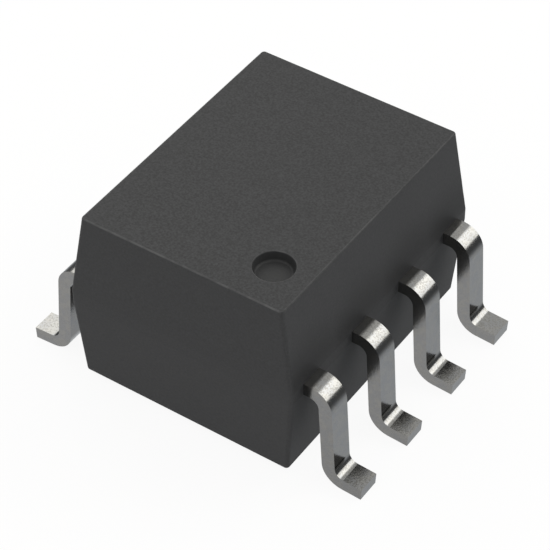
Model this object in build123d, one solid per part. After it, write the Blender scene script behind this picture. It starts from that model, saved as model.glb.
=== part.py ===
from build123d import *
import os
from math import cos, radians, sin, tan

# An eight-pin small outline package with a tall moulded body, built as an optically coupled
# isolator: an emitter die hangs face down over a detector die, with clear silicone between.
# The part stands on its toes at z = 0. Pins 1 to 4 are on the +X side, pin 1 at the -Y end.
# All sizes are in millimetres and degrees.

# Moulded body
body_width = 3.92  # along X, over the parting band
body_length = 4.81  # along Y, over the parting band
body_height = 3.15
standoff = 0.14  # gap between the body and the board
side_draft_top = 8.5  # long sides, above the leads
side_draft_bottom = 4.6  # long sides, below the leads
end_draft = 3.2  # short ends
corner_radius = 0.06  # upright corners
edge_radius = 0.03  # rims of the top and bottom faces

# Dimple that marks pin 1
dimple_radius = 0.315
dimple_depth = 0.155
dimple_draft = 12.0
dimple_floor_radius = 0.04
dimple_side_gap = 0.62  # from its centre to the rim of the top face, along X
dimple_end_gap = 0.72  # the same along Y
dimple_edge_radius = 0.02

# Leads outside the body
pin_pitch = 1.27
pins_per_side = 4
lead_width = 0.40
lead_thickness = 0.21
leg_thickness = 0.225  # the upright legs are a little thicker than the rest
foot_thickness = 0.202  # and the feet are pressed a little thinner
lead_span = 5.97  # from toe to toe
exit_height = 1.475  # underside of the leads above the underside of the body
bend_radius = 0.16  # inside of each bend
leg_lean = 3.6  # legs lean outwards
foot_tilt = 3.5  # feet point down to the toe
foot_reach = 0.56  # from the leg's centre line to the toe

# Lead frame inside the body
head_width = 0.62  # widened inner ends that lock the leads in the resin
head_length = 0.42
head_inset = 0.40  # from the parting band to a head
stamp_radius = 0.05  # corners of the stamped heads and pads
set_angle = 50.0  # slope of the necks that raise or lower a pad
neck_land = 0.20  # level run from a pad's edge to the middle of its bend
emitter_pad_width = 1.00
detector_pad_width = 1.60
detector_pad_length = 2.25
detector_arm_width = 0.50
emitter_pin_number = 3
detector_pin_number = 5
emitter_wire_pin_number = 2
detector_wire_pin_numbers = (6, 7, 8)

# Dies, the layers that hold them, and the silicone between them
emitter_size = 0.30
emitter_thickness = 0.18
detector_width = 1.20
detector_length = 1.20
detector_thickness = 0.25
detector_shift = 0.10  # towards the detector leads, which leaves room for the bonds
attach_thickness = 0.025
attach_margin = 0.04
optical_gap = 0.50
guide_radius = 0.42

# Bond wires
wire_diameter = 0.025
wire_side_count = 6
ball_radius = 0.04
ball_height = 0.02
ball_side_count = 12
wire_bend = 0.06
wire_rise = 0.16  # the wire stands up this far from each bond
bond_pitch = 0.35  # between the bonds along the detector's edge
bond_inset = 0.09  # from the detector's edge to its bonds
ground_bond_gap = 0.20  # from the detector's edge to the ground wire's second bond

# Levels and places that follow from the sizes
body_bottom = standoff
body_top = standoff + body_height
lead_bottom = standoff + exit_height
lead_top = lead_bottom + lead_thickness
lead_middle = lead_bottom + lead_thickness / 2
stack_height = 2 * attach_thickness + emitter_thickness + optical_gap + detector_thickness
detector_pad_top = lead_middle - stack_height / 2
emitter_pad_bottom = lead_middle + stack_height / 2
detector_seat = detector_pad_top + attach_thickness
detector_face = detector_seat + detector_thickness
emitter_seat = emitter_pad_bottom - attach_thickness
emitter_face = emitter_seat - emitter_thickness
head_middle = body_width / 2 - head_inset - head_length / 2


def first_pin_place():
    """Y of the first lead on the +X side."""
    return -pin_pitch * (pins_per_side - 1) / 2


def turn_to_side(pin):
    """Leads are drawn on the +X side, and those past the first row are turned half a turn."""
    return Rot(0, 0, 0 if pin <= pins_per_side else 180)


def row_place(pin):
    """Y of a lead as drawn on the +X side."""
    return first_pin_place() + pin_pitch * ((pin - 1) % pins_per_side)


def shifted(points, shifts):
    """A bent line whose runs move sideways, each by its own shift, to the left when positive."""
    ways = [(after - before).normalized() for before, after in zip(points, points[1:])]
    lefts = [Vector(-way.Y, way.X) for way in ways]
    moved = [points[0] + lefts[0] * shifts[0]]
    for index, corner in enumerate(points[1:-1]):
        left_in, left_out = lefts[index : index + 2]
        shift_in, shift_out = shifts[index : index + 2]
        turn = left_in.dot(left_out)
        along_in = (shift_in - turn * shift_out) / (1 - turn**2)
        along_out = (shift_out - turn * shift_in) / (1 - turn**2)
        moved.append(corner + left_in * along_in + left_out * along_out)
    return moved + [points[-1] + lefts[-1] * shifts[-1]]


def side_of_strip(points, shifts):
    """One long side of a bent strip, tighter on the inside of each bend."""
    radii = []
    for before, here, after in zip(points, points[1:], points[2:]):
        turns_left = (here - before).cross(after - here).Z > 0
        inside = turns_left == (shifts[0] > 0)
        radii.append(bend_radius if inside else bend_radius + lead_thickness)
    return FilletPolyline(*shifted(points, shifts), radius=radii)


def bent_strip(points, place):
    """A lead's foot, leg and arm round a centre line of X and Z points, at one Y place."""
    line = [Vector(x, z) for x, z in points]
    thicknesses = [foot_thickness, leg_thickness] + [lead_thickness] * (len(line) - 3)
    left = side_of_strip(line, [thickness / 2 for thickness in thicknesses])
    right = side_of_strip(line, [-thickness / 2 for thickness in thicknesses])
    outline = [left, right, Line(left @ 0, right @ 0), Line(left @ 1, right @ 1)]
    profile = Plane.XZ * make_face(Curve() + outline)
    return Pos(0, place, 0) * extrude(profile, amount=lead_width / 2, both=True)


def gull_wing():
    """Centre line of a lead outside the body, from the toe up to the arm."""
    half = foot_thickness / 2
    toe = Vector(lead_span / 2 - half * sin(radians(foot_tilt)), half * cos(radians(foot_tilt)))
    heel = toe + Vector(-foot_reach, foot_reach * tan(radians(foot_tilt)))
    rise = lead_middle - heel.Y
    shoulder = heel + Vector(-rise * tan(radians(leg_lean)), rise)
    return [(toe.X, toe.Y), (heel.X, heel.Y), (shoulder.X, shoulder.Y)]


def stamped(outline, bottom):
    """A flat plate of lead metal with slightly rounded corners."""
    rounded = fillet(outline.vertices(), stamp_radius)
    return Pos(0, 0, bottom) * extrude(rounded, amount=lead_thickness)


def plate_between(x_low, x_high, y_low, y_high):
    """A rectangle given by its sides."""
    middle = Pos((x_low + x_high) / 2, (y_low + y_high) / 2)
    return middle * Rectangle(x_high - x_low, y_high - y_low)


def head_place(pin):
    """Y of a lead's inner head, which stays level with the outer edge of an end lead."""
    place = row_place(pin)
    spare = (head_width - lead_width) / 2
    if place == row_place(1):
        return place + spare
    if place == row_place(pins_per_side):
        return place - spare
    return place


def plain_lead(pin):
    """A lead that ends in a flat head inside the body."""
    arm_end = (head_middle, lead_middle)
    strip = bent_strip(gull_wing() + [arm_end], row_place(pin))
    middle = head_place(pin)
    head = plate_between(
        head_middle - head_length / 2,
        head_middle + head_length / 2,
        middle - head_width / 2,
        middle + head_width / 2,
    )
    return turn_to_side(pin) * (strip + stamped(head, lead_bottom))


def neck(pad_edge, pad_middle):
    """Centre line points from the arm to a raised or lowered pad."""
    bend = pad_edge + neck_land
    run = abs(pad_middle - lead_middle) / tan(radians(set_angle))
    return [(bend + run, lead_middle), (bend, pad_middle), (pad_edge - neck_land, pad_middle)]


def emitter_carrier():
    """The lead that carries the emitter under a raised pad."""
    place = row_place(emitter_pin_number)
    reach = place + lead_width / 2
    edge = emitter_pad_width / 2
    strip = bent_strip(gull_wing() + neck(edge, emitter_pad_bottom + lead_thickness / 2), place)
    pad = plate_between(-edge, edge, -reach, reach)
    return turn_to_side(emitter_pin_number) * (strip + stamped(pad, emitter_pad_bottom))


def detector_carrier():
    """The lead that carries the detector on a lowered pad, with an arm along one end."""
    place = row_place(detector_pin_number)
    edge = detector_pad_width / 2
    strip = bent_strip(gull_wing() + neck(edge, detector_pad_top - lead_thickness / 2), place)
    pad = plate_between(-edge, edge, -detector_pad_length / 2, detector_pad_length / 2)
    arm = plate_between(edge - detector_arm_width, edge, place - lead_width / 2, 0)
    plate = stamped(pad + arm, detector_pad_top - lead_thickness)
    return turn_to_side(detector_pin_number) * (strip + plate)


def drafted_block(z_wide, z_end, side_draft):
    """Half of the body, which narrows from the parting band to the top or bottom face."""
    height = abs(z_end - z_wide)
    wide = RectangleRounded(body_width, body_length, corner_radius)
    end = RectangleRounded(
        body_width - 2 * height * tan(radians(side_draft)),
        body_length - 2 * height * tan(radians(end_draft)),
        corner_radius,
    )
    return loft([Pos(0, 0, z_wide) * wide, Pos(0, 0, z_end) * end])


def dimple_pin():
    """The round pin of the mould that forms the dimple, centred on the body's top face."""
    spread = dimple_depth * tan(radians(dimple_draft))
    pin = Cone(dimple_radius - spread, dimple_radius + spread, 2 * dimple_depth)
    return fillet(pin.edges().sort_by(Axis.Z)[0], dimple_floor_radius)


def body_shell():
    """The outer form of the resin body with its dimple, before the inner pieces are let in."""
    band = Pos(0, 0, lead_bottom) * extrude(
        RectangleRounded(body_width, body_length, corner_radius), amount=lead_thickness
    )
    upper = drafted_block(lead_top, body_top, side_draft_top)
    lower = drafted_block(lead_bottom, body_bottom, side_draft_bottom)
    shell = upper + band + lower
    faces = shell.faces().sort_by(Axis.Z)
    shell = fillet(faces[0].edges() + faces[-1].edges(), edge_radius)
    height = body_top - lead_top
    rim_x = body_width / 2 - height * tan(radians(side_draft_top))
    rim_y = body_length / 2 - height * tan(radians(end_draft))
    centre = Pos(rim_x - dimple_side_gap, dimple_end_gap - rim_y, body_top)
    shell -= centre * dimple_pin()
    rim = shell.edges().group_by(Axis.Z)[-1].sort_by_distance(centre.position)[0]
    return fillet(rim, dimple_edge_radius)


def die(width, length, thickness, x, z_low):
    """A flat block seated at a level, centred on Y."""
    seat = (Align.CENTER, Align.CENTER, Align.MIN)
    return Pos(x, 0, z_low) * Box(width, length, thickness, align=seat)


def attach_layer(width, length, x, z_low):
    """The adhesive under a die, which shows a little all round it."""
    return die(width + 2 * attach_margin, length + 2 * attach_margin, attach_thickness, x, z_low)


def light_guide():
    """The column of clear silicone that stands on the detector and wraps the emitter."""
    height = emitter_pad_bottom - detector_face
    return Pos(0, 0, detector_face + height / 2) * Cylinder(guide_radius, height)


def bond_wire(start, end, rise):
    """A wire with a flattened ball at each end. Its flat sides follow the line of the wire."""
    upwards = Vector(0, 0, rise)
    along = Vector(end.X - start.X, end.Y - start.Y, 0)
    path = FilletPolyline(start, start + upwards, end + upwards, end, radius=wire_bend)
    section = RegularPolygon(wire_diameter / 2, wire_side_count)
    wire = sweep(Plane(origin=start, x_dir=along, z_dir=upwards) * section, path=path)
    for bond in (start, end):
        ball = extrude(RegularPolygon(ball_radius, ball_side_count), amount=ball_height)
        wire += Plane(origin=bond, z_dir=upwards) * ball
    return wire


def head_bond(pin, level):
    """Where a wire meets a lead's inner head."""
    spot = turn_to_side(pin) * Pos(head_middle, head_place(pin), level)
    return spot.position


def bond_wires():
    """Every wire by name: one to the emitter, and one to each detector lead and to its pad."""
    wires = {}
    emitter_bond = Vector(0, 0, emitter_face)
    lead_bond = head_bond(emitter_wire_pin_number, lead_bottom)
    wires[f"bond_wire_{emitter_wire_pin_number}"] = bond_wire(emitter_bond, lead_bond, -wire_rise)
    bond_x = -detector_shift - detector_width / 2 + bond_inset
    middle_wire = (len(detector_wire_pin_numbers) - 1) / 2
    for index, pin in enumerate(detector_wire_pin_numbers):
        start = Vector(bond_x, bond_pitch * (middle_wire - index), detector_face)
        wires[f"bond_wire_{pin}"] = bond_wire(start, head_bond(pin, lead_top), wire_rise)
    start = Vector(-detector_shift, detector_length / 2 - bond_inset, detector_face)
    end = Vector(-detector_shift, detector_length / 2 + ground_bond_gap, detector_pad_top)
    wires["ground_wire"] = bond_wire(start, end, wire_rise)
    return wires


def all_parts():
    """Every piece of the package by name. The resin is cast round all the others."""
    parts = {}
    for pin in range(1, 2 * pins_per_side + 1):
        if pin == emitter_pin_number:
            parts[f"lead_{pin}"] = emitter_carrier()
        elif pin == detector_pin_number:
            parts[f"lead_{pin}"] = detector_carrier()
        else:
            parts[f"lead_{pin}"] = plain_lead(pin)

    parts["emitter_die_attach"] = attach_layer(emitter_size, emitter_size, 0, emitter_seat)
    parts["emitter_die"] = die(emitter_size, emitter_size, emitter_thickness, 0, emitter_face)
    parts["detector_die_attach"] = attach_layer(
        detector_width, detector_length, -detector_shift, detector_pad_top
    )
    parts["detector_die"] = die(
        detector_width, detector_length, detector_thickness, -detector_shift, detector_seat
    )
    parts.update(bond_wires())

    guide = light_guide()
    for name in ("emitter_die_attach", "emitter_die", f"bond_wire_{emitter_wire_pin_number}"):
        guide -= parts[name]
    parts["light_guide"] = guide

    body = body_shell()
    for piece in parts.values():
        body -= piece
    parts["moulded_body"] = body
    return parts


os.makedirs("parts", exist_ok=True)
for name, piece in all_parts().items():
    export_step(piece, f"parts/{name}.step")
    print(name, round(piece.volume, 5))
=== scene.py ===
# Tall eight-lead moulded chip: finishes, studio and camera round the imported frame.
# Blender lengths are metres, so sizes below are written in millimetres times mm.

from math import cos, pi, radians, sin, tan

import bmesh
import bpy
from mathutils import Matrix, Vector

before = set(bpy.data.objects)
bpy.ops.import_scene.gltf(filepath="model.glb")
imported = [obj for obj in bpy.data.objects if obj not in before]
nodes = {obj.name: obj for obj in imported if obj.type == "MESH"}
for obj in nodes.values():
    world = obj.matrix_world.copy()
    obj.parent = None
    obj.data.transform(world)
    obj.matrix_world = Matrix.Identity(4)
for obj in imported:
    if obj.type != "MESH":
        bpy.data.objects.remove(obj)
bpy.context.view_layer.update()

mm = 0.001
scene = bpy.context.scene
print("frame loaded:", len(nodes), "nodes")


# Node helpers

def newMaterial(name):
    material = bpy.data.materials.new(name)
    material.use_nodes = True
    material.node_tree.nodes.clear()
    return material, material.node_tree


def addNode(tree, kind, place, **settings):
    node = tree.nodes.new(kind)
    node.location = place
    for key, value in settings.items():
        setattr(node, key, value)
    return node


def setInputs(node, values):
    for name, value in values.items():
        node.inputs[name].default_value = value


def link(tree, source, output, target, socket):
    tree.links.new(source.outputs[output], target.inputs[socket])


def addPrincipled(tree, values):
    shader = addNode(tree, "ShaderNodeBsdfPrincipled", (900, 0))
    output = addNode(tree, "ShaderNodeOutputMaterial", (1200, 0))
    link(tree, shader, "BSDF", output, "Surface")
    setInputs(shader, values)
    return shader


def addMath(tree, place, operation, source, output, value=0.0):
    node = addNode(tree, "ShaderNodeMath", place, operation=operation)
    node.inputs[1].default_value = value
    link(tree, source, output, node, 0)
    return node


def addProduct(tree, place, first, firstOutput, second, secondOutput):
    node = addNode(tree, "ShaderNodeMath", place, operation="MULTIPLY")
    link(tree, first, firstOutput, node, 0)
    link(tree, second, secondOutput, node, 1)
    return node


def addRange(tree, place, fromMin, fromMax, toMin, toMax, kind="SMOOTHSTEP"):
    node = addNode(tree, "ShaderNodeMapRange", place, interpolation_type=kind)
    setInputs(node, {"From Min": fromMin, "From Max": fromMax, "To Min": toMin, "To Max": toMax})
    return node


def addColourMix(tree, place, first, second):
    node = addNode(tree, "ShaderNodeMix", place, data_type="RGBA")
    node.inputs["A"].default_value = first
    node.inputs["B"].default_value = second
    return node


def grey(level):
    return (level, level, level, 1.0)


# Camera, fitted to the corners of the photographed package

cameraView = {
    "lens": 160.22,
    "sensorWidth": 36.0,
    "azimuth": 34.100,
    "elevation": 43.676,
    "distance": 37.969 * mm,
    "aim": Vector((-0.317, 0.541, 0.655)) * mm,
}


def makeCamera(values):
    data = bpy.data.cameras.new("photoCamera")
    data.lens = values["lens"]
    data.sensor_width = values["sensorWidth"]
    data.clip_start = 1 * mm
    data.clip_end = 2.0
    camera = bpy.data.objects.new("photoCamera", data)
    scene.collection.objects.link(camera)
    azimuth = radians(values["azimuth"])
    elevation = radians(values["elevation"])
    back = Vector((sin(azimuth) * cos(elevation), -cos(azimuth) * cos(elevation), sin(elevation)))
    camera.location = values["aim"] + back * values["distance"]
    camera.rotation_euler = (-back).to_track_quat("-Z", "Y").to_euler()
    scene.camera = camera


makeCamera(cameraView)
print("camera set")


# Shader groups that several finishes share

def makeGroup(name, inputs, outputs):
    group = bpy.data.node_groups.new(name, "ShaderNodeTree")
    for socket, value in inputs.items():
        made = group.interface.new_socket(socket, in_out="INPUT", socket_type="NodeSocketFloat")
        made.default_value = value
    for socket in outputs:
        group.interface.new_socket(socket, in_out="OUTPUT", socket_type="NodeSocketFloat")
    return group, addNode(group, "NodeGroupInput", (-900, -300)), addNode(group, "NodeGroupOutput", (700, 0))


def makeGrainGroup():
    # Fine grain and broad clouds in millimetre space, the clouds' share of the height is set outside
    group, values, results = makeGroup(
        "surfaceGrain",
        {"Grains Per Mm": 24.0, "Clouds Per Mm": 4.0, "Cloud Share": 0.2},
        ("Height", "Grain", "Clouds"),
    )
    coordinates = addNode(group, "ShaderNodeTexCoord", (-900, 200))
    inMm = addNode(group, "ShaderNodeMapping", (-700, 200))
    inMm.inputs["Scale"].default_value = (1 / mm, 1 / mm, 1 / mm)
    link(group, coordinates, "Object", inMm, "Vector")
    grain = addNode(group, "ShaderNodeTexNoise", (-400, 200))
    setInputs(grain, {"Detail": 2.0, "Roughness": 0.55})
    clouds = addNode(group, "ShaderNodeTexNoise", (-400, -100))
    setInputs(clouds, {"Detail": 3.0, "Roughness": 0.55})
    for noise, rate in ((grain, "Grains Per Mm"), (clouds, "Clouds Per Mm")):
        link(group, inMm, "Vector", noise, "Vector")
        link(group, values, rate, noise, "Scale")
    height = addNode(group, "ShaderNodeMix", (100, 200), data_type="FLOAT")
    link(group, values, "Cloud Share", height, "Factor")
    link(group, grain, "Fac", height, "A")
    link(group, clouds, "Fac", height, "B")
    link(group, height, "Result", results, "Height")
    link(group, grain, "Fac", results, "Grain")
    link(group, clouds, "Fac", results, "Clouds")
    return group


def makeFacingGroup():
    # Up is the normal's Z and Across its X without the sign, Eased is 1 on a rim between flat faces
    group, values, results = makeGroup(
        "facing",
        {"Steep From": 0.20, "Steep To": 0.45, "Flat From": 0.92, "Flat To": 0.995},
        ("Up", "Across", "Eased"),
    )
    coordinates = addNode(group, "ShaderNodeTexCoord", (-900, 200))
    normal = addNode(group, "ShaderNodeSeparateXYZ", (-700, 200))
    link(group, coordinates, "Normal", normal, "Vector")
    tilt = addMath(group, (-500, 200), "ABSOLUTE", normal, "Z")
    sideways = addMath(group, (-500, -100), "ABSOLUTE", normal, "X")
    steep = addRange(group, (-200, 300), 0.0, 1.0, 0.0, 1.0)
    flat = addRange(group, (-200, 0), 0.0, 1.0, 1.0, 0.0)
    for share, name in ((steep, "Steep"), (flat, "Flat")):
        link(group, tilt, "Value", share, "Value")
        link(group, values, name + " From", share, "From Min")
        link(group, values, name + " To", share, "From Max")
    eased = addProduct(group, (300, 100), steep, "Result", flat, "Result")
    link(group, normal, "Z", results, "Up")
    link(group, sideways, "Value", results, "Across")
    link(group, eased, "Value", results, "Eased")
    return group


def makeDiscGroup():
    # Inside is 1 within a radius of an upright axis, all in millimetres
    group, values, results = makeGroup("disc", {"Centre X": 0.0, "Centre Y": 0.0, "Radius": 1.0}, ("Inside",))
    coordinates = addNode(group, "ShaderNodeTexCoord", (-900, 200))
    inMm = addNode(group, "ShaderNodeMapping", (-700, 200))
    inMm.inputs["Scale"].default_value = (1 / mm, 1 / mm, 0)
    link(group, coordinates, "Object", inMm, "Vector")
    centre = addNode(group, "ShaderNodeCombineXYZ", (-700, -200))
    link(group, values, "Centre X", centre, "X")
    link(group, values, "Centre Y", centre, "Y")
    reach = addNode(group, "ShaderNodeVectorMath", (-500, 200), operation="DISTANCE")
    link(group, inMm, "Vector", reach, 0)
    link(group, centre, "Vector", reach, 1)
    share = addNode(group, "ShaderNodeMath", (-300, 200), operation="DIVIDE")
    link(group, reach, "Value", share, 0)
    link(group, values, "Radius", share, 1)
    inside = addRange(group, (-100, 200), 0.97, 1.03, 1.0, 0.0)
    link(group, share, "Value", inside, "Value")
    link(group, inside, "Result", results, "Inside")
    return group


grainGroup = makeGrainGroup()
facingGroup = makeFacingGroup()
discGroup = makeDiscGroup()


def addGroup(tree, group, place, **values):
    node = addNode(tree, "ShaderNodeGroup", place, node_tree=group)
    for socket, value in values.items():
        node.inputs[socket].default_value = value
    return node


def addGrain(tree, values):
    node = addGroup(tree, grainGroup, (-900, 0))
    setInputs(node, {
        "Grains Per Mm": values["grainsPerMm"],
        "Clouds Per Mm": values["cloudsPerMm"],
        "Cloud Share": values["cloudShare"],
    })
    return node


def addDisc(tree, place, centre, radius):
    node = addGroup(tree, discGroup, place)
    setInputs(node, {"Centre X": centre[0] / mm, "Centre Y": centre[1] / mm, "Radius": radius / mm})
    return node


def addBump(tree, source, output, depth, shader):
    bump = addNode(tree, "ShaderNodeBump", (600, -300))
    setInputs(bump, {"Strength": 1.0, "Distance": depth})
    link(tree, source, output, bump, "Height")
    link(tree, bump, "Normal", shader, "Normal")


print("shader groups made")


# Moulded resin: black filled epoxy, spark-textured on top, smoother on the drafted sides

resinLook = {
    "fillerDark": (0.0200, 0.0203, 0.0215, 1.0),
    "fillerLight": (0.0400, 0.0407, 0.0430, 1.0),
    # Paler rims: part wear, part painted highlight along the top edges
    "rubbedAndHighlight": (0.083, 0.084, 0.086, 1.0),
    "leastRubAndHighlight": 0.45,
    "patchFrom": 0.40,
    "patchTo": 0.58,
    "sideRubAndHighlight": 0.15,
    "roughness": 0.60,
    "rubbedRoughness": 0.50,
    # Painted reflection: the plain tone and roughness that other parts' reflections show of the resin
    "paintedReflectionTone": (0.042, 0.042, 0.042, 1.0),
    "reflectedRoughness": 0.76,
    "specular": 0.35,
    # Inside the dimple the resin is given a darker tone
    "pinMark": (1.121 * mm, -1.603 * mm),
    "pinMarkRadius": 0.31 * mm,
    "pinMarkTone": (0.0248, 0.0252, 0.0260, 1.0),
    "pinMarkShare": 0.7,
    # Painted shade round the places where the leads come out of the long sides
    "paintedExitShade": (0.006, 0.006, 0.006, 1.0),
    "paintedExitShadeShare": 0.48,
    "paintedExitShadeFrom": 0.20 * mm,
    "paintedExitShadeTo": 1.00 * mm,
    "riseFrom": -0.10 * mm,
    "riseTo": 0.22 * mm,
    "exitPitch": 1.27 * mm,
    "exitOffset": 0.635 * mm,
    "exitHeight": 1.80 * mm,
    "grainsPerMm": 30.0,
    "cloudsPerMm": 3.0,
    "cloudShare": 0.10,
    "sideGrain": 0.52,
    "topGrain": 1.15,
    "grainDepth": 0.0014 * mm,
    "mottleFrom": 0.3,
    "mottleTo": 0.7,
    # Parts of the normal, between which a mask goes from 0 to 1
    "topFrom": 0.3,
    "topTo": 0.9,
    "rimFrom": 0.2,
    "rimTo": 0.5,
    "sideFrom": 0.80,
    "sideTo": 0.95,
}


def addFiller(tree, values, grain, facing):
    # Returns the mottled tone and the texture that it shares with the bump
    amount = addRange(
        tree, (-600, -200), values["topFrom"], values["topTo"], values["sideGrain"], values["topGrain"]
    )
    link(tree, facing, "Up", amount, "Value")
    texture = addNode(tree, "ShaderNodeMix", (-300, 0), data_type="FLOAT", clamp_factor=False)
    setInputs(texture, {"A": 0.5})
    link(tree, amount, "Result", texture, "Factor")
    link(tree, grain, "Height", texture, "B")
    share = addRange(tree, (-100, 200), values["mottleFrom"], values["mottleTo"], 0.0, 1.0, "LINEAR")
    link(tree, texture, "Result", share, "Value")
    filler = addColourMix(tree, (100, 200), values["fillerDark"], values["fillerLight"])
    link(tree, share, "Result", filler, "Factor")
    return filler, texture


def addRubAndHighlight(tree, values, grain, facing, mark):
    # The ends' rims are paler in patches, partly rubbed and partly a painted highlight, the long sides'
    # hardly, and the dimple's not at all
    rimShareByFacing = addRange(tree, (-600, -450), values["rimFrom"], values["rimTo"], 1.0, values["sideRubAndHighlight"])
    link(tree, facing, "Across", rimShareByFacing, "Value")
    patches = addRange(tree, (-600, -850), values["patchFrom"], values["patchTo"], values["leastRubAndHighlight"], 1.0)
    link(tree, grain, "Clouds", patches, "Value")
    patchyRims = addProduct(tree, (-400, -650), rimShareByFacing, "Result", patches, "Result")
    rims = addProduct(tree, (-400, -450), patchyRims, "Value", facing, "Eased")
    rubAndHighlight = addNode(tree, "ShaderNodeMix", (-200, -450), data_type="FLOAT")
    setInputs(rubAndHighlight, {"B": 0.0})
    link(tree, mark, "Inside", rubAndHighlight, "Factor")
    link(tree, rims, "Value", rubAndHighlight, "A")
    return rubAndHighlight


def addPaintedExitShade(tree, values, facing):
    # Painted shade: darker resin on the long sides just above the places where the leads come out, where the
    # leads shade the body
    coordinates = addNode(tree, "ShaderNodeTexCoord", (-900, 1100))
    place = addNode(tree, "ShaderNodeSeparateXYZ", (-700, 1100))
    link(tree, coordinates, "Object", place, "Vector")
    fromLead = addMath(tree, (-500, 1200), "SUBTRACT", place, "Y", values["exitOffset"])
    along = addMath(tree, (-300, 1200), "PINGPONG", fromLead, "Value", values["exitPitch"] / 2)
    height = addMath(tree, (-300, 1000), "SUBTRACT", place, "Z", values["exitHeight"])
    offset = addNode(tree, "ShaderNodeCombineXYZ", (-100, 1100))
    link(tree, along, "Value", offset, "X")
    link(tree, height, "Value", offset, "Y")
    reach = addNode(tree, "ShaderNodeVectorMath", (100, 1100), operation="LENGTH")
    link(tree, offset, "Vector", reach, 0)
    near = addRange(tree, (300, 1100), values["paintedExitShadeFrom"], values["paintedExitShadeTo"], values["paintedExitShadeShare"], 0.0)
    link(tree, reach, "Value", near, "Value")
    above = addRange(tree, (100, 900), values["riseFrom"], values["riseTo"], 0.0, 1.0)
    link(tree, height, "Value", above, "Value")
    side = addRange(tree, (100, 700), values["sideFrom"], values["sideTo"], 0.0, 1.0)
    link(tree, facing, "Across", side, "Value")
    onSide = addProduct(tree, (300, 800), above, "Result", side, "Result")
    return addProduct(tree, (500, 900), near, "Result", onSide, "Value")


def makeResin(values):
    material, tree = newMaterial("mouldedResin")
    shader = addPrincipled(tree, {"Specular IOR Level": values["specular"]})
    grain = addGrain(tree, values)
    facing = addGroup(tree, facingGroup, (-900, -300))
    mark = addDisc(tree, (-600, -650), values["pinMark"], values["pinMarkRadius"])
    filler, texture = addFiller(tree, values, grain, facing)
    rubAndHighlight = addRubAndHighlight(tree, values, grain, facing, mark)
    paintedExitShade = addPaintedExitShade(tree, values, facing)
    markShare = addMath(tree, (400, 400), "MULTIPLY", mark, "Inside", values["pinMarkShare"])
    # Glossy rays get the painted reflection tone and roughness instead of the resin's own
    rays = addNode(tree, "ShaderNodeLightPath", (500, 600))
    # Each colour covers the one before by its own share: rims paler from wear and a painted highlight, the
    # dimple's darker tone, painted shade at the lead exits, and the painted reflection tone
    tone = filler
    for step, (colour, cover, output) in enumerate((
            ("rubbedAndHighlight", rubAndHighlight, "Result"),
            ("pinMarkTone", markShare, "Value"),
            ("paintedExitShade", paintedExitShade, "Value"),
            ("paintedReflectionTone", rays, "Is Glossy Ray"),
    )):
        covered = addColourMix(tree, (300 + 150 * step, 200), grey(0.0), values[colour])
        link(tree, cover, output, covered, "Factor")
        link(tree, tone, "Result", covered, "A")
        tone = covered
    link(tree, tone, "Result", shader, "Base Color")
    polish = addRange(tree, (400, -50), 0.0, 1.0, values["roughness"], values["rubbedRoughness"], "LINEAR")
    link(tree, rubAndHighlight, "Result", polish, "Value")
    spread = addNode(tree, "ShaderNodeMix", (600, -50), data_type="FLOAT")
    setInputs(spread, {"B": values["reflectedRoughness"]})
    link(tree, rays, "Is Glossy Ray", spread, "Factor")
    link(tree, polish, "Result", spread, "A")
    link(tree, spread, "Result", shader, "Roughness")
    addBump(tree, texture, "Result", values["grainDepth"], shader)
    return material


# Tin plating: matt grey metal with duller specks, which catch less of a highlight

tinLook = {
    "coolTone": (0.251, 0.253, 0.256, 1.0),
    "warmTone": (0.271, 0.268, 0.260, 1.0),
    "dullTone": (0.220, 0.217, 0.208, 1.0),
    # Painted reflection: the darker tone that other parts' reflections show of the tin
    "paintedReflectionTone": (0.018, 0.018, 0.018, 1.0),
    "roughness": 0.16,
    "dullRoughness": 0.23,
    "warmFrom": 0.40,
    "warmTo": 0.60,
    "speckFrom": 0.46,
    "speckTo": 0.62,
    "sideSpecks": 0.25,
    "topSpecks": 1.0,
    "topFrom": 0.1,
    "topTo": 0.6,
    "grainsPerMm": 34.0,
    "cloudsPerMm": 7.0,
    "cloudShare": 0.3,
    "grainDepth": 0.0009 * mm,
}


def makeTin(values):
    material, tree = newMaterial("tinPlating")
    shader = addPrincipled(tree, {"Metallic": 1.0})
    grain = addGrain(tree, values)
    tone = addColourMix(tree, (0, 300), values["coolTone"], values["warmTone"])
    warm = addRange(tree, (-300, 300), values["warmFrom"], values["warmTo"], 0.0, 1.0)
    link(tree, grain, "Clouds", warm, "Value")
    link(tree, warm, "Result", tone, "Factor")
    facing = addGroup(tree, facingGroup, (-900, -300))
    amount = addRange(
        tree, (-600, -200), values["topFrom"], values["topTo"], values["sideSpecks"], values["topSpecks"]
    )
    link(tree, facing, "Up", amount, "Value")
    specks = addRange(tree, (-300, 0), values["speckFrom"], values["speckTo"], 0.0, 1.0)
    link(tree, grain, "Grain", specks, "Value")
    link(tree, amount, "Result", specks, "To Max")
    dulled = addColourMix(tree, (300, 200), grey(0.0), values["dullTone"])
    link(tree, specks, "Result", dulled, "Factor")
    link(tree, tone, "Result", dulled, "A")
    # Painted reflection: glossy rays see the darker tin tone
    rays = addNode(tree, "ShaderNodeLightPath", (300, 500))
    seen = addColourMix(tree, (600, 300), grey(0.0), values["paintedReflectionTone"])
    link(tree, rays, "Is Glossy Ray", seen, "Factor")
    link(tree, dulled, "Result", seen, "A")
    link(tree, seen, "Result", shader, "Base Color")
    gloss = addRange(tree, (300, -50), 0.0, 1.0, values["roughness"], values["dullRoughness"], "LINEAR")
    link(tree, specks, "Result", gloss, "Value")
    link(tree, gloss, "Result", shader, "Roughness")
    addBump(tree, grain, "Height", values["grainDepth"], shader)
    return material


# Gold of the bond wires and their balls

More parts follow.
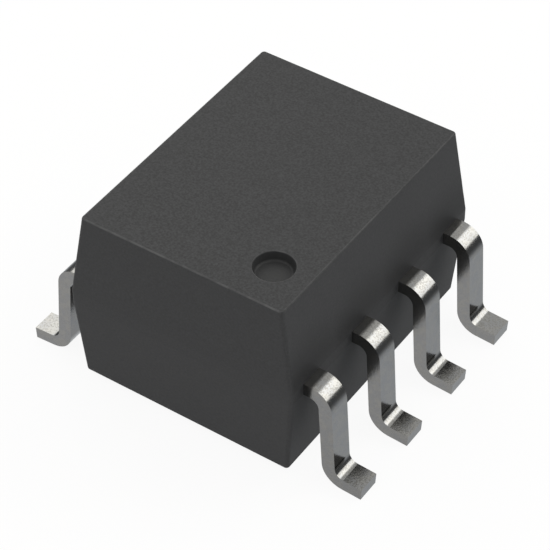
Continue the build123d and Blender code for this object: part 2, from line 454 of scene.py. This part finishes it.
goldLook = {
    "paleTone": (1.00, 0.76, 0.36, 1.0),
    "deepTone": (0.90, 0.62, 0.24, 1.0),
    "roughness": 0.16,
    "dullRoughness": 0.30,
    "dullFrom": 0.35,
    "dullTo": 0.65,
    "grainsPerMm": 90.0,
    "cloudsPerMm": 20.0,
    "cloudShare": 0.3,
    "grainDepth": 0.0004 * mm,
}


def makeGold(values):
    material, tree = newMaterial("bondGold")
    shader = addPrincipled(tree, {"Metallic": 1.0})
    grain = addGrain(tree, values)
    tone = addColourMix(tree, (300, 200), values["paleTone"], values["deepTone"])
    link(tree, grain, "Clouds", tone, "Factor")
    link(tree, tone, "Result", shader, "Base Color")
    gloss = addRange(
        tree, (300, -50), values["dullFrom"], values["dullTo"], values["roughness"], values["dullRoughness"]
    )
    link(tree, grain, "Grain", gloss, "Value")
    link(tree, gloss, "Result", shader, "Roughness")
    addBump(tree, grain, "Height", values["grainDepth"], shader)
    return material


# Detector die: circuit blocks with metal tracks on its face, sawn silicon on its sides

siliconLook = {
    "darkBlock": (0.030, 0.040, 0.075, 1.0),
    "lightBlock": (0.085, 0.075, 0.095, 1.0),
    "track": (0.62, 0.58, 0.50, 1.0),
    "sawn": (0.150, 0.155, 0.165, 1.0),
    "blockLength": 0.11,
    "blockWidth": 0.05,
    "trackWidth": 0.006,
    "faceRoughness": 0.18,
    "sawnRoughness": 0.55,
    "faceFrom": 0.80,
    "faceTo": 0.95,
    "grainsPerMm": 60.0,
    "cloudsPerMm": 6.0,
    "cloudShare": 0.3,
    "grainDepth": 0.0006 * mm,
}


def makeSilicon(values):
    material, tree = newMaterial("detectorSilicon")
    shader = addPrincipled(tree, {"Metallic": 0.35})
    grain = addGrain(tree, values)
    facing = addGroup(tree, facingGroup, (-900, -300))
    coordinates = addNode(tree, "ShaderNodeTexCoord", (-900, 500))
    inMm = addNode(tree, "ShaderNodeMapping", (-700, 500))
    inMm.inputs["Scale"].default_value = (1 / mm, 1 / mm, 1 / mm)
    link(tree, coordinates, "Object", inMm, "Vector")
    circuit = addNode(tree, "ShaderNodeTexBrick", (-450, 500))
    setInputs(circuit, {
        "Color1": values["darkBlock"],
        "Color2": values["lightBlock"],
        "Mortar": values["track"],
        "Scale": 1.0,
        "Mortar Size": values["trackWidth"],
        "Brick Width": values["blockLength"],
        "Row Height": values["blockWidth"],
    })
    link(tree, inMm, "Vector", circuit, "Vector")
    face = addRange(tree, (-450, -300), values["faceFrom"], values["faceTo"], 0.0, 1.0)
    link(tree, facing, "Up", face, "Value")
    tone = addColourMix(tree, (300, 300), values["sawn"], grey(0.0))
    link(tree, face, "Result", tone, "Factor")
    link(tree, circuit, "Color", tone, "B")
    link(tree, tone, "Result", shader, "Base Color")
    gloss = addRange(tree, (0, -200), 0.0, 1.0, values["sawnRoughness"], values["faceRoughness"], "LINEAR")
    link(tree, face, "Result", gloss, "Value")
    link(tree, gloss, "Result", shader, "Roughness")
    addBump(tree, grain, "Height", values["grainDepth"], shader)
    return material


# Emitter die: a dark semiconductor crystal with a gold contact under it

crystalLook = {
    "dark": (0.060, 0.045, 0.040, 1.0),
    "light": (0.120, 0.085, 0.070, 1.0),
    "contact": (0.95, 0.70, 0.32, 1.0),
    "contactRadius": 0.06 * mm,
    "roughness": 0.22,
    "sawnRoughness": 0.45,
    "sawnFrom": 0.35,
    "sawnTo": 0.65,
    "underFrom": -0.95,
    "underTo": -0.80,
    "grainsPerMm": 70.0,
    "cloudsPerMm": 12.0,
    "cloudShare": 0.4,
    "grainDepth": 0.0006 * mm,
}


def makeCrystal(values):
    material, tree = newMaterial("emitterCrystal")
    shader = addPrincipled(tree, {})
    grain = addGrain(tree, values)
    facing = addGroup(tree, facingGroup, (-900, -300))
    tone = addColourMix(tree, (0, 300), values["dark"], values["light"])
    link(tree, grain, "Clouds", tone, "Factor")
    disc = addDisc(tree, (-300, 600), (0.0, 0.0), values["contactRadius"])
    under = addRange(tree, (-450, -300), values["underFrom"], values["underTo"], 1.0, 0.0)
    link(tree, facing, "Up", under, "Value")
    contact = addProduct(tree, (0, 600), disc, "Inside", under, "Result")
    plated = addColourMix(tree, (400, 300), grey(0.0), values["contact"])
    link(tree, contact, "Value", plated, "Factor")
    link(tree, tone, "Result", plated, "A")
    link(tree, plated, "Result", shader, "Base Color")
    link(tree, contact, "Value", shader, "Metallic")
    gloss = addRange(
        tree, (300, -50), values["sawnFrom"], values["sawnTo"], values["roughness"], values["sawnRoughness"]
    )
    link(tree, grain, "Grain", gloss, "Value")
    link(tree, gloss, "Result", shader, "Roughness")
    addBump(tree, grain, "Height", values["grainDepth"], shader)
    return material


# Silver-filled adhesive under both dies: flakes in a grey paste

pasteLook = {
    "paste": (0.30, 0.30, 0.29, 1.0),
    "flake": (0.72, 0.71, 0.69, 1.0),
    "roughness": 0.60,
    "flakeRoughness": 0.28,
    "flakeFrom": 0.48,
    "flakeTo": 0.62,
    "grainsPerMm": 60.0,
    "cloudsPerMm": 10.0,
    "cloudShare": 0.2,
    "grainDepth": 0.002 * mm,
}


def makePaste(values):
    material, tree = newMaterial("silverAdhesive")
    shader = addPrincipled(tree, {})
    grain = addGrain(tree, values)
    flakes = addRange(tree, (-300, 200), values["flakeFrom"], values["flakeTo"], 0.0, 1.0)
    link(tree, grain, "Grain", flakes, "Value")
    tone = addColourMix(tree, (300, 200), values["paste"], values["flake"])
    link(tree, flakes, "Result", tone, "Factor")
    link(tree, tone, "Result", shader, "Base Color")
    link(tree, flakes, "Result", shader, "Metallic")
    gloss = addRange(tree, (300, -50), 0.0, 1.0, values["roughness"], values["flakeRoughness"], "LINEAR")
    link(tree, flakes, "Result", gloss, "Value")
    link(tree, gloss, "Result", shader, "Roughness")
    addBump(tree, grain, "Height", values["grainDepth"], shader)
    return material


# Clear silicone between the dies

siliconeLook = {
    "clear": (0.97, 0.98, 0.98, 1.0),
    "hazy": (0.90, 0.92, 0.92, 1.0),
    "ior": 1.41,
    "roughness": 0.06,
    "hazyRoughness": 0.16,
    "hazeFrom": 0.40,
    "hazeTo": 0.65,
    "grainsPerMm": 20.0,
    "cloudsPerMm": 2.5,
    "cloudShare": 0.8,
    "grainDepth": 0.002 * mm,
}


def makeSilicone(values):
    material, tree = newMaterial("clearSilicone")
    shader = addPrincipled(tree, {"Transmission Weight": 1.0, "IOR": values["ior"]})
    grain = addGrain(tree, values)
    tone = addColourMix(tree, (300, 200), values["clear"], values["hazy"])
    link(tree, grain, "Clouds", tone, "Factor")
    link(tree, tone, "Result", shader, "Base Color")
    gloss = addRange(
        tree, (300, -50), values["hazeFrom"], values["hazeTo"], values["roughness"], values["hazyRoughness"]
    )
    link(tree, grain, "Clouds", gloss, "Value")
    link(tree, gloss, "Result", shader, "Roughness")
    addBump(tree, grain, "Height", values["grainDepth"], shader)
    return material


# Each packed slot gets its finish
finishes = {
    "resin": makeResin(resinLook),
    "tin_plated_copper": makeTin(tinLook),
    "gold": makeGold(goldLook),
    "silicon": makeSilicon(siliconLook),
    "emitter_crystal": makeCrystal(crystalLook),
    "silver_filled_epoxy": makePaste(pasteLook),
    "clear_silicone": makeSilicone(siliconeLook),
}
for node in nodes.values():
    for slot in node.material_slots:
        slot.material = finishes[slot.material.name.split(".")[0]]
print("finishes applied:", len(finishes))


# Studio

studio = {
    "floorSize": 600 * mm,
    "floorColour": 0.90,
    "floorGlow": 0.92,
    "gap": 0.0005 * mm,
}

# Light from the room as (elevation in degrees, level): pale all round, dim near the horizon on one side
room = {
    "paleLevels": (
        (-90, 0.56), (-51, 0.56), (-46, 0.87), (-20, 0.78), (0, 0.48), (20, 0.48), (46, 1.05),
        (54, 0.98), (90, 0.98),
    ),
    "dimLevels": (
        (-90, 0.95), (-60, 0.95), (-52, 0.58), (-46, 0.70), (-37, 0.71), (-31, 0.68), (-23, 0.48),
        (-16, 0.26), (-8, 0.14), (5, 0.13), (16, 0.22), (46, 1.02), (54, 0.98), (90, 0.98),
    ),
    "paleTint": (1.0, 1.0, 0.995),
    "dimTint": (0.967, 1.0, 1.03),
    "skyTint": (1.0, 0.997, 0.970),
    "skyFrom": 30,
    "dimAzimuth": 0,
    "dimFrom": 0.36,
    "dimTo": 0.56,
}


def addDirect(tree, place):
    # 1 for what the camera sees, also through silicone
    rays = addNode(tree, "ShaderNodeLightPath", place)
    direct = addNode(tree, "ShaderNodeMath", (place[0] + 200, place[1]), operation="MAXIMUM")
    link(tree, rays, "Is Camera Ray", direct, 0)
    link(tree, rays, "Is Transmission Ray", direct, 1)
    return direct


def makeFloor(values):
    shape = bmesh.new()
    bmesh.ops.create_grid(shape, x_segments=1, y_segments=1, size=values["floorSize"] / 2)
    bmesh.ops.translate(shape, verts=shape.verts, vec=(0, 0, -values["gap"]))
    mesh = bpy.data.meshes.new("studioFloor")
    shape.to_mesh(mesh)
    shape.free()
    floor = bpy.data.objects.new("studioFloor", mesh)
    scene.collection.objects.link(floor)
    floor.visible_glossy = False
    material, tree = newMaterial("studioPaper")
    paper = addNode(tree, "ShaderNodeBsdfDiffuse", (0, 0))
    paper.inputs["Color"].default_value = grey(values["floorColour"])
    glow = addNode(tree, "ShaderNodeEmission", (0, -150))
    setInputs(glow, {"Color": grey(1.0), "Strength": 1.0})
    direct = addDirect(tree, (-400, 200))
    share = addMath(tree, (0, 200), "MULTIPLY", direct, "Value", values["floorGlow"])
    lifted = addNode(tree, "ShaderNodeMixShader", (200, -100))
    link(tree, share, "Value", lifted, "Fac")
    tree.links.new(paper.outputs["BSDF"], lifted.inputs[1])
    tree.links.new(glow.outputs["Emission"], lifted.inputs[2])
    output = addNode(tree, "ShaderNodeOutputMaterial", (700, 100))
    link(tree, lifted, "Shader", output, "Surface")
    mesh.materials.append(material)


def addLevels(tree, place, levels, tint, values):
    ramp = addNode(tree, "ShaderNodeValToRGB", place)
    stops = ramp.color_ramp.elements
    while len(stops) < len(levels):
        stops.new(0.5)
    for stop, (elevation, level) in zip(stops, levels):
        shade = values["skyTint"] if elevation > values["skyFrom"] else tint
        stop.position = (sin(radians(elevation)) + 1) / 2
        stop.color = (level * shade[0], level * shade[1], level * shade[2], 1.0)
    return ramp


def makeWorld(values):
    world = bpy.data.worlds.new("studioWorld")
    scene.world = world
    world.use_nodes = True
    tree = world.node_tree
    direction = addNode(tree, "ShaderNodeTexCoord", (-1000, 0))
    height = addNode(tree, "ShaderNodeSeparateXYZ", (-800, 0))
    share = addNode(tree, "ShaderNodeMapRange", (-600, 0))
    setInputs(share, {"From Min": -1.0, "From Max": 1.0})
    link(tree, direction, "Generated", height, "Vector")
    link(tree, height, "Z", share, "Value")
    pale = addLevels(tree, (-400, 200), values["paleLevels"], values["paleTint"], values)
    dim = addLevels(tree, (-400, -100), values["dimLevels"], values["dimTint"], values)
    for ramp in (pale, dim):
        link(tree, share, "Result", ramp, "Fac")
    azimuth = radians(values["dimAzimuth"])
    along = addNode(tree, "ShaderNodeVectorMath", (-800, -400), operation="DOT_PRODUCT")
    along.inputs[1].default_value = (sin(azimuth), cos(azimuth), 0)
    link(tree, direction, "Generated", along, 0)
    sector = addRange(tree, (-600, -400), values["dimFrom"], values["dimTo"], 0.0, 1.0)
    link(tree, along, "Value", sector, "Value")
    around = addColourMix(tree, (-100, 0), grey(1.0), grey(1.0))
    link(tree, sector, "Result", around, "Factor")
    link(tree, pale, "Color", around, "A")
    link(tree, dim, "Color", around, "B")
    # Seen directly or through silicone it is plain white
    direct = addDirect(tree, (-400, 500))
    seen = addColourMix(tree, (100, 200), grey(1.0), grey(1.0))
    link(tree, direct, "Value", seen, "Factor")
    link(tree, around, "Result", seen, "A")
    link(tree, seen, "Result", tree.nodes["Background"], "Color")


# Each panel: azimuth from +Y towards +X and elevation, angular size in degrees, and radiance
panels = {
    "backRight": {"azimuth": 38, "elevation": 34, "wide": 34, "tall": 36, "radiance": 2.8},
    "backLeft": {"azimuth": -54, "elevation": 32, "wide": 32, "tall": 30, "radiance": 1.95},
    "frontLeft": {"azimuth": -150, "elevation": 32, "wide": 60, "tall": 44, "radiance": 0.25},
}
panelDistance = 200 * mm
panelTint = (1.0, 0.985, 0.94)


def makePanel(name, values):
    lamp = bpy.data.lights.new(name, "AREA")
    lamp.shape = "RECTANGLE"
    lamp.size = 2 * panelDistance * tan(radians(values["wide"] / 2))
    lamp.size_y = 2 * panelDistance * tan(radians(values["tall"] / 2))
    lamp.energy = values["radiance"] * pi * lamp.size * lamp.size_y
    lamp.color = panelTint
    panel = bpy.data.objects.new(name, lamp)
    scene.collection.objects.link(panel)
    azimuth = radians(values["azimuth"])
    elevation = radians(values["elevation"])
    towards = Vector((sin(azimuth) * cos(elevation), cos(azimuth) * cos(elevation), sin(elevation)))
    panel.location = towards * panelDistance
    panel.rotation_euler = towards.to_track_quat("Z", "Y").to_euler()


makeFloor(studio)
makeWorld(room)
for name, values in panels.items():
    makePanel(name, values)
scene.view_settings.view_transform = "Standard"
print("studio lit")

bpy.context.view_layer.update()
